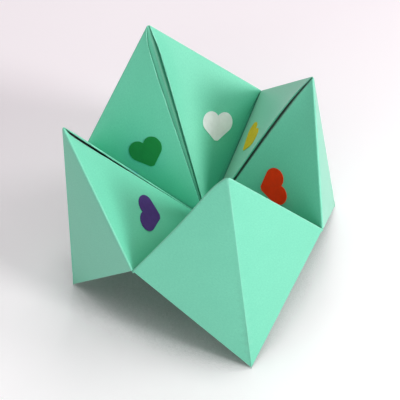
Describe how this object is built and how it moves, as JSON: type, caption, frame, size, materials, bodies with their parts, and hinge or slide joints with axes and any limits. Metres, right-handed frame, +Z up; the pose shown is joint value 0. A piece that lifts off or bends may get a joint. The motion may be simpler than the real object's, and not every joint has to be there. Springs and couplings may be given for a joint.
{
  "type": "paper fortune teller",
  "caption": "Folded paper fortune teller standing open on the points of its beaks, with heart stickers on the inside faces.",
  "frame": {"origin": "middle of the outline on the table", "axes": "+Z up, the front beak towards -Y, the right beak towards +X"},
  "size_m": [0.103, 0.1106, 0.0747],
  "materials": {
    "mint_paper": "matt, fine fibrous grain",
    "sticker_green": "gloss",
    "sticker_white": "gloss",
    "sticker_yellow": "gloss",
    "sticker_red": "gloss",
    "sticker_purple": "gloss",
    "sticker_blue": "gloss",
    "sticker_pink": "gloss",
    "sticker_orange": "gloss"
  },
  "bodies": {
    "root": {"folded_sheet": "mint_paper", "heart_green": "sticker_green", "heart_white": "sticker_white", "heart_yellow": "sticker_yellow", "heart_red": "sticker_red", "heart_purple": "sticker_purple", "heart_blue": "sticker_blue", "heart_pink": "sticker_pink", "heart_orange": "sticker_orange"}
  },
  "joints": []
}
